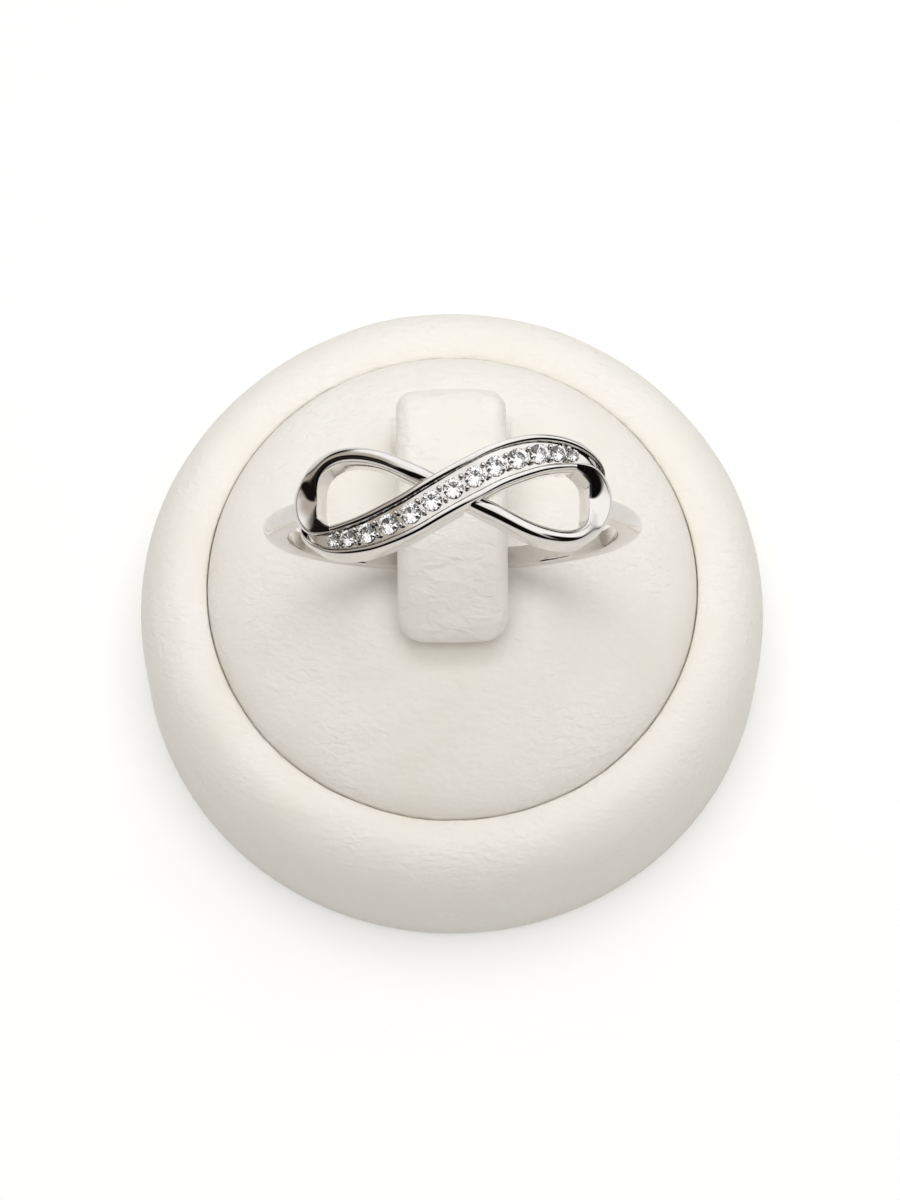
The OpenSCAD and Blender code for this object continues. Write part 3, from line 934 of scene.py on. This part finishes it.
# Middle line of the tongue from its front end to the leg's end: y, z, slope and size. It falls to
# the front along a power curve whose height over the shank leaves the rest gap.
def tonguePath(s):
    lean = np.radians(ringSet["lean"])
    inner = ringSet["fingerRadius"]
    shankRadius = inner + shankSet["thickness"]
    shankHalf = shankSet["width"] / 2
    under = np.sqrt(inner**2 - ((s["width"] - s["rounding"]) / 2) ** 2)
    underY = -ringSet["forward"] + (under - shankRadius) * np.sin(lean) - shankHalf * np.cos(lean)
    underZ = ringSet["restHeight"] + (shankRadius - under) * np.cos(lean)
    half = s["thickness"] / 2
    foldY = s["back"] - s["fold"]
    reach = foldY + s["front"]
    low = domeHeightAt(s["front"] - half) + standSet["gap"] + half * (1 - s["noseTuck"])
    over = underZ + standSet["gap"] + s["slopeShare"] * half
    drop = (over - low) / (1 - ((foldY - underY) / reach) ** s["power"])
    a = np.radians(np.linspace(0, 90, s["noseSteps"]))
    nose = s["nose"] * (1 - np.cos(a))
    y = np.concatenate([nose, np.linspace(s["nose"], reach, s["runSteps"] + 2)[1:-1]]) - s["front"]
    size = np.concatenate([1 - s["noseTuck"] * (1 - np.sin(a)), np.ones(s["runSteps"])])
    u = (foldY - y) / reach
    slope = np.arctan(drop * s["power"] / reach * u ** (s["power"] - 1))
    run = np.stack([y, low + drop * (1 - u ** s["power"]), slope, size], -1)
    radius = s["fold"] - half
    middle = low + drop - radius
    b = np.linspace(np.pi / 2, 0, s["foldSteps"])
    same = np.ones(s["foldSteps"])
    fold = np.stack([foldY + radius * np.cos(b), middle + radius * np.sin(b), b - np.pi / 2, same], -1)
    v = np.linspace(0, 1, s["legSteps"] + 1)[1:]
    leg = domeTop - s["socketDepth"] + standSet["gap"] - middle
    down = np.stack([foldY + radius + 0 * v, middle + leg * v, -np.pi / 2 + 0 * v, 1 + 0 * v], -1)
    return np.vstack([run, fold, down])


# Half of the tongue's outline: a corner, a flat face and a corner.
def tongueFace(s, rounding):
    half = s["thickness"] / 2
    flatHalf = s["width"] / 2 - rounding
    c = np.radians(np.linspace(0, 90, s["corner"]))
    corner = rounding * np.stack([np.cos(c), np.sin(c)], -1) + (flatHalf, half - rounding)
    across = np.linspace(1, -1, s["face"])[1:-1, None] * flatHalf
    flat = np.hstack([across, 0 * across + half])
    return np.vstack([corner, flat, corner[::-1] * (-1, 1)])


# Padded strip: the outline, crowned on its outer side, carried over the foot of the ring, round
# the fold and down the back leg, with soft unevenness on both faces.
def makeTongue(s):
    path = tonguePath(s)
    outline = np.vstack([tongueFace(s, s["outerRounding"]), -tongueFace(s, s["rounding"])])
    share = np.clip(outline[:, 1] / (s["thickness"] / 2), 0, 1)
    outline[:, 1] += s["crown"] * share * (1 - (2 * outline[:, 0] / s["width"]) ** 2)
    x = outline[:, 0] * path[:, 3:]
    out = outline[:, 1] * path[:, 3:]
    steps = np.linalg.norm(np.diff(path[:, :2], axis=0), axis=1)
    length = np.concatenate([[0], np.cumsum(steps)])[:, None]
    free = np.clip(length / s["calmNose"], 0, 1) * np.clip((length[-1] - length) / s["calmLeg"], 0, 1)
    swell = sum(deep * np.sin(m * length + n * x + phase) for deep, m, n, phase in tongueWaves)
    out = out + np.sign(out) * swell * free * (np.abs(outline[:, 1]) > s["faceFrom"])
    y = path[:, :1] - out * np.sin(path[:, 2:3])
    z = path[:, 1:2] + out * np.cos(path[:, 2:3])
    return tube(np.stack([x, y, z], -1))


baseSkin = makeBase(standSet)
domeSkin = makeDome(standSet, domeSet)
tongueSkin = makeTongue(tongueSet)
base = addPiece("padded_base", *baseSkin, standLeather, "leather", ("stand_base",), sharp=60)
dome = addPiece("padded_dome", *domeSkin, standLeather, "leather", ("stand_dome",), sharp=60)
tongue = addPiece("padded_tongue", *tongueSkin, tongueLeather, "leather", ("stand_tongue",), sharp=60)
report("stand made")

# Floor, light and surroundings
stageSet = {
    "floorSize": 1.6,
    "floorColour": "#F2F2F1",
    "floorRoughness": 0.9,
    "floorGlow": 2.0,
    "glowShare": 0.15,
}


# White board under the stand. The camera sees it a little brighter than it lights the stand.
def makeStage(s):
    half = s["floorSize"] / 2
    mesh = bpy.data.meshes.new("floor")
    corners = [(-half, -half, 0), (half, -half, 0), (half, half, 0), (-half, half, 0)]
    mesh.from_pydata(corners, [], [(0, 1, 2, 3)])
    floor = bpy.data.objects.new("floor", mesh)
    bpy.context.scene.collection.objects.link(floor)
    material, tree = startMaterial("matt_white_board")
    colour = linear(s["floorColour"])
    board = addNode(tree, "ShaderNodeBsdfPrincipled", Base_Color=colour, Roughness=s["floorRoughness"])
    glow = addNode(tree, "ShaderNodeEmission", Color=(1.0, 1.0, 1.0, 1.0), Strength=s["floorGlow"])
    seen = addNode(tree, "ShaderNodeLightPath").outputs["Is Camera Ray"]
    share = addNode(tree, "ShaderNodeMath", {"operation": "MULTIPLY"}, n0=seen, n1=s["glowShare"])
    mix = addNode(tree, "ShaderNodeMixShader", n0=share.outputs[0], n1=board.outputs[0], n2=glow.outputs[0])
    addNode(tree, "ShaderNodeOutputMaterial", Surface=mix.outputs[0])
    mesh.materials.append(material)


makeStage(stageSet)

# Softboxes: name, place, size and power in watts. All are aimed at the ring, and polished
# surfaces mirror the tent below instead of them.
lightSet = [
    ("overhead_box", (0.0, 0.04, 0.45), (0.4, 0.4), 1.36),
    ("back_box", (0.0, 0.42, 0.22), (0.4, 0.3), 0.13),
    ("right_box", (0.42, 0.0, 0.3), (0.3, 0.3), 0.11),
]
lightAim = Vector((0, 0, 0.02))
for name, place, size, power in lightSet:
    data = bpy.data.lights.new(name, "AREA")
    data.shape = "RECTANGLE"
    data.size, data.size_y = size
    data.energy = power
    light = bpy.data.objects.new(name, data)
    light.visible_glossy = False
    light.visible_transmission = False
    turn = (Vector(place) - lightAim).to_track_quat("Z", "Y")
    light.matrix_world = Matrix.Translation(place) @ turn.to_matrix().to_4x4()
    bpy.context.scene.collection.objects.link(light)

# Surroundings: a light tent. Matt surfaces get its even light. Polished ones mirror its walls
# from the horizon up, with patches in them: name, direction, angles at which the patch begins
# to fade and is gone, and its brightness.
tentSet = {
    "even": [(0.5, "#000000"), (0.51, "#BDBAB5"), (1.0, "#BDBAB5")],
    "evenStrength": 0.76,
    "walls": [
        (0.0, "#D5D3D8"), (0.46, "#D5D3D8"), (0.49, "#12100E"), (0.6, "#1A1714"), (0.66, "#77716B"),
        (0.74, "#D8D6D4"), (1.0, "#F2F1F0"),
    ],
    "patches": [
        ("left_wall", (-0.9, 0.05, 0.5), 16, 34, "#B3ABA2"),
        ("right_panel", (0.8, 0.25, 0.6), 24, 40, "#FFFFFF"),
        ("back_panel", (0.0, 0.8, 0.6), 28, 46, "#FFFFFF"),
        ("front_opening", (-0.12, -0.86, 0.48), 40, 52, "#0C0A09"),
        ("left_front_opening", (-0.88, -0.3, 0.38), 8, 19, "#15110E"),
        ("right_front_opening", (0.88, -0.3, 0.36), 12, 22, "#0C0A09"),
    ],
    "metalStrength": 1.15,
    "stoneStrength": 1.5,
    "seen": "#FDFDFD",
}


# The world's colour depends on the ray: camera, metal (mirrored), stone (refracted) or matt.
def makeTent(s):
    world = bpy.data.worlds.new("light_tent")
    bpy.context.scene.world = world
    world.use_nodes = True
    tree = world.node_tree
    tree.nodes.clear()
    direction = addNode(tree, "ShaderNodeTexCoord").outputs["Generated"]
    split = addNode(tree, "ShaderNodeSeparateXYZ", Vector=direction)
    share = mapRange(tree, split.outputs["Z"], (-1.0, 1.0))
    colour = ramp(tree, share, s["walls"])
    for _, toward, inner, outer, patch in s["patches"]:
        near = addNode(
            tree, "ShaderNodeVectorMath", {"operation": "DOT_PRODUCT"},
            n0=direction, n1=Vector(toward).normalized(),
        ).outputs["Value"]
        amount = mapRange(tree, near, np.cos(np.radians((outer, inner))).tolist(), soft=True)
        colour = addNode(
            tree, "ShaderNodeMix", {"data_type": "RGBA"}, n0=amount, n6=colour, n7=linear(patch)
        ).outputs[2]
    evenColour = ramp(tree, share, s["even"])
    even = addNode(tree, "ShaderNodeBackground", Color=evenColour, Strength=s["evenStrength"])
    metal = addNode(tree, "ShaderNodeBackground", Color=colour, Strength=s["metalStrength"])
    stone = addNode(tree, "ShaderNodeBackground", Color=colour, Strength=s["stoneStrength"])
    seen = addNode(tree, "ShaderNodeBackground", Color=linear(s["seen"]), Strength=1.0)
    path = addNode(tree, "ShaderNodeLightPath")
    mix = even
    for ray, other in (("Glossy", metal), ("Transmission", stone), ("Camera", seen)):
        chosen = path.outputs[f"Is {ray} Ray"]
        mix = addNode(tree, "ShaderNodeMixShader", n0=chosen, n1=mix.outputs[0], n2=other.outputs[0])
    addNode(tree, "ShaderNodeOutputWorld", Surface=mix.outputs[0])


makeTent(tentSet)
view = bpy.context.scene.view_settings
view.view_transform = "Standard"
view.look = "None"
report("stage and light made")
